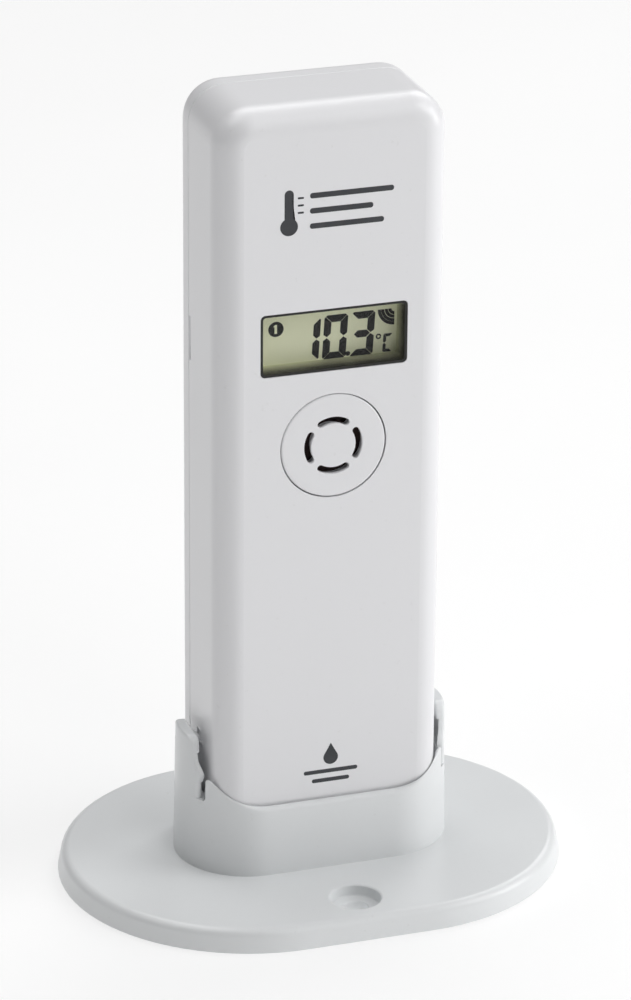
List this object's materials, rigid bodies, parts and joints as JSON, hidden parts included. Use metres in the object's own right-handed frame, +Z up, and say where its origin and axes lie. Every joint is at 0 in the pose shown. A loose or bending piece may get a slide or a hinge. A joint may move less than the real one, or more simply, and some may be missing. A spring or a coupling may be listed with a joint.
{
  "type": "wireless temperature transmitter with stand",
  "caption": "Slim upright outdoor temperature transmitter with a small display and a round vent, clipped into a socket on a stadium-shaped table and wall stand.",
  "frame": {"origin": "centre of the stand's underside, on the surface that it stands on", "axes": "+Z up, -Y is the display side, +X to the right seen from the display side"},
  "size_m": [0.0846, 0.0632, 0.1345],
  "materials": {
    "stand_plastic": "moulded ABS, satin",
    "case_plastic": "moulded ABS, semi-gloss",
    "clear_window": "clear polished acrylic",
    "black_plastic": "matt",
    "display": "liquid crystal cell with polariser, matt",
    "reflector": "matt reflector film",
    "dark_rubber": "matt",
    "membrane": "fine breathable mesh",
    "board": "solder mask",
    "shield_metal": "tin plate",
    "capacitor_can": "satin",
    "copper_wire": "lacquered copper",
    "button_plastic": "matt",
    "cell": "plain printed sleeve, gloss",
    "contact_metal": "nickel plate",
    "screw_steel": "zinc plate"
  },
  "bodies": {
    "stand": {"stand": "stand_plastic"},
    "clip_arm_left": {"clip_arm_left": "stand_plastic"},
    "clip_arm_right": {"clip_arm_right": "stand_plastic"},
    "transmitter": {"front_shell": "case_plastic", "back_shell": "case_plastic", "vent_disc": "case_plastic", "display_window": "clear_window", "display_frame": "black_plastic", "display_glass": "display", "display_reflector": "reflector", "contact_strip": "dark_rubber", "vent_membrane": "membrane", "sensor_gasket": "dark_rubber", "circuit_board": "board", "humidity_sensor": "black_plastic", "controller_chip": "black_plastic", "radio_module": "shield_metal", "crystal": "shield_metal", "capacitors": "capacitor_can", "antenna": "copper_wire", "button_switch": "black_plastic", "battery_left": "cell", "battery_right": "cell", "battery_springs": "contact_metal", "battery_contacts": "contact_metal", "contact_bridge": "contact_metal", "case_screws": "screw_steel", "board_screws": "screw_steel"},
    "battery_cover": {"battery_cover": "case_plastic"},
    "button": {"button": "button_plastic"}
  },
  "joints": [
    {"name": "transmitter_lift", "type": "slide", "parent": "stand", "child": "transmitter", "axis": [0, 0, 1], "range_m": [0, 0.04]},
    {"name": "left_clip_flex", "type": "hinge", "parent": "stand", "child": "clip_arm_left", "pos_m": [-0.0227, 0, 0.0164], "axis": [0, -1, 0], "range_deg": [0, 4], "stiffness_Nm_per_rad": 1.2},
    {"name": "right_clip_flex", "type": "hinge", "parent": "stand", "child": "clip_arm_right", "pos_m": [0.0227, 0, 0.0164], "axis": [0, 1, 0], "range_deg": [0, 4], "stiffness_Nm_per_rad": 1.2},
    {"name": "battery_cover_hinge", "type": "hinge", "parent": "transmitter", "child": "battery_cover", "pos_m": [0, 0.0096, 0.0184], "axis": [-1, 0, 0], "range_deg": [0, 85]},
    {"name": "button_press", "type": "slide", "parent": "transmitter", "child": "button", "axis": [0, -1, 0], "range_m": [0, 0.0008], "stiffness_N_per_m": 400}
  ]
}
